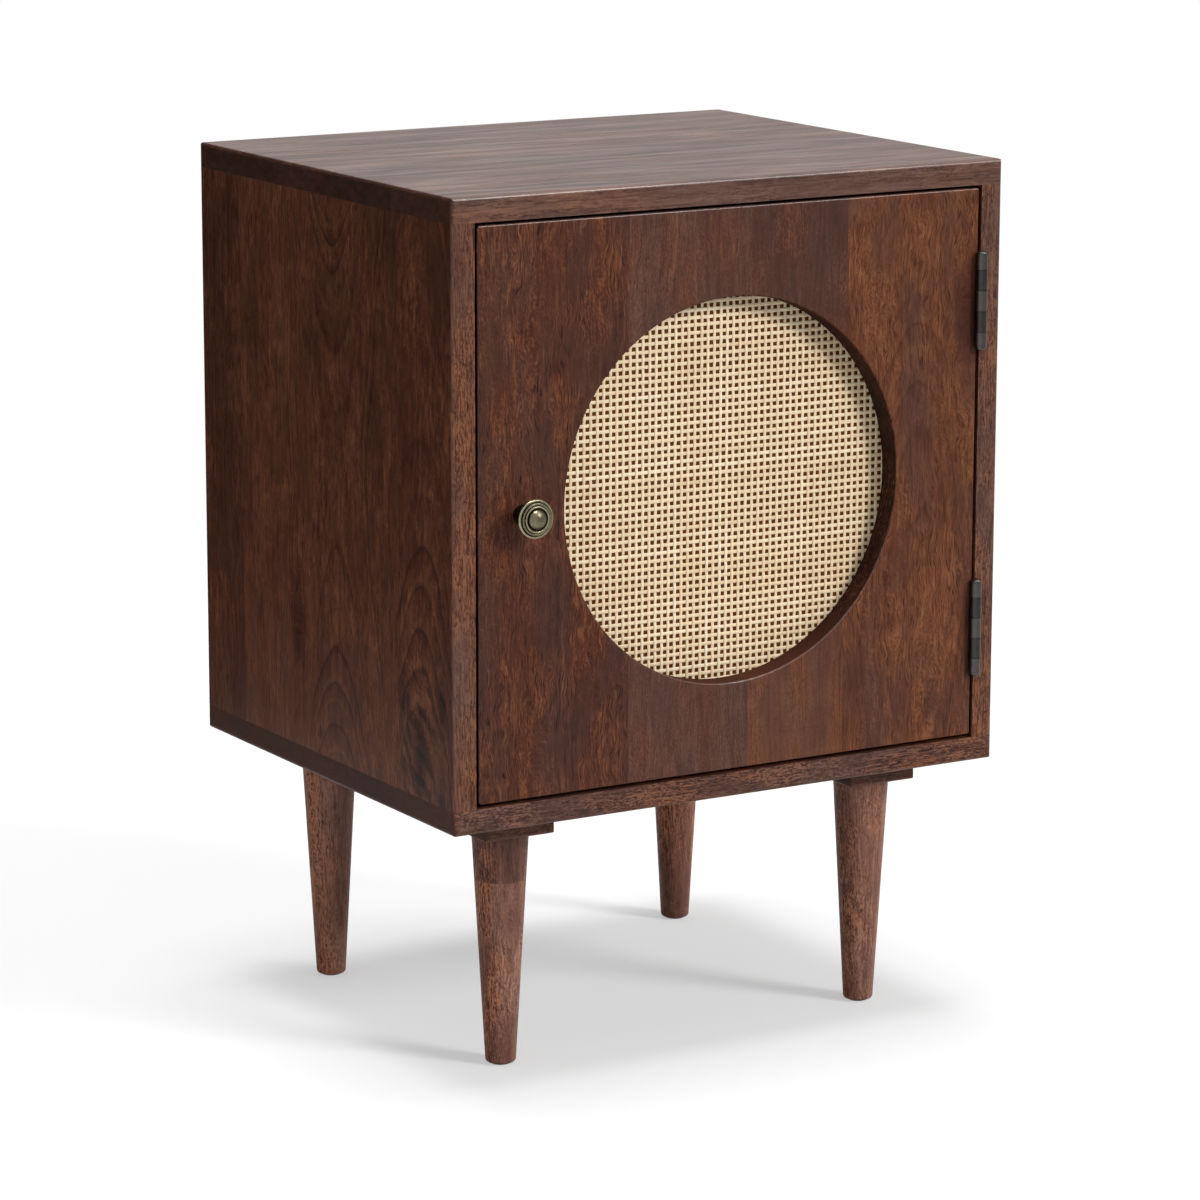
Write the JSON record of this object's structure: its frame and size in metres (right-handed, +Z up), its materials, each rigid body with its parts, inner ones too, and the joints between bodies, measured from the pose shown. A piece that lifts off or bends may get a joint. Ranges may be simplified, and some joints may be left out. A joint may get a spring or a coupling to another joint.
{
  "type": "bedside pot cupboard",
  "caption": "Square wooden bedside cupboard on tapered turned legs, with an inset hinged door, a round woven cane window and a ringed knob.",
  "frame": {"origin": "on the floor, under the middle of the whole cupboard's box with the knob included", "axes": "+Z up, the door faces -Y, the hinges are at +X"},
  "size_m": [0.43, 0.384, 0.6],
  "materials": {
    "carcass_wood": "satin dark brown stain over solid hardwood staves",
    "door_wood": "satin dark brown stain over solid hardwood staves",
    "back_veneer": "satin stained plywood",
    "leg_wood": "satin stained hardwood, a little lighter",
    "dowel_wood": "raw beech",
    "cane": "natural split cane, woven",
    "aged_brass": "antique brass, dark in the grooves",
    "hinge_metal": "dark gunmetal",
    "plated_steel": "zinc plated",
    "catch_plastic": "brown moulded plastic",
    "magnet": "bare ferrite and steel",
    "glide_nylon": "black nylon"
  },
  "bodies": {
    "cabinet": {"top_board": "carcass_wood", "bottom_board": "carcass_wood", "left_side": "carcass_wood", "right_side": "carcass_wood", "back_panel": "back_veneer", "carcass_dowels": "dowel_wood", "back_screws": "plated_steel", "shelf": "carcass_wood", "shelf_supports": "plated_steel", "catch_case": "catch_plastic", "catch_magnet": "magnet", "catch_screws": "plated_steel", "upper_frame_leaf": "hinge_metal", "upper_hinge_pin": "hinge_metal", "lower_frame_leaf": "hinge_metal", "lower_hinge_pin": "hinge_metal", "frame_leaf_screws": "hinge_metal", "front_left_block": "leg_wood", "front_right_block": "leg_wood", "back_left_block": "leg_wood", "back_right_block": "leg_wood", "block_screws": "plated_steel", "block_inserts": "plated_steel", "hanger_bolts": "plated_steel", "front_left_leg": "leg_wood", "front_right_leg": "leg_wood", "back_left_leg": "leg_wood", "back_right_leg": "leg_wood", "foot_glides": "glide_nylon"},
    "door": {"door_panel": "door_wood", "cane_panel": "cane", "cane_ring": "door_wood", "ring_screws": "aged_brass", "knob": "aged_brass", "knob_bolt": "plated_steel", "strike_plate": "plated_steel", "strike_screw": "plated_steel", "upper_door_leaf": "hinge_metal", "lower_door_leaf": "hinge_metal", "door_leaf_screws": "hinge_metal"}
  },
  "joints": [
    {"name": "door_hinge", "type": "hinge", "parent": "cabinet", "child": "door", "pos_m": [0.197, -0.1712, 0.39], "axis": [0, 0, 1], "range_deg": [0, 180]}
  ]
}
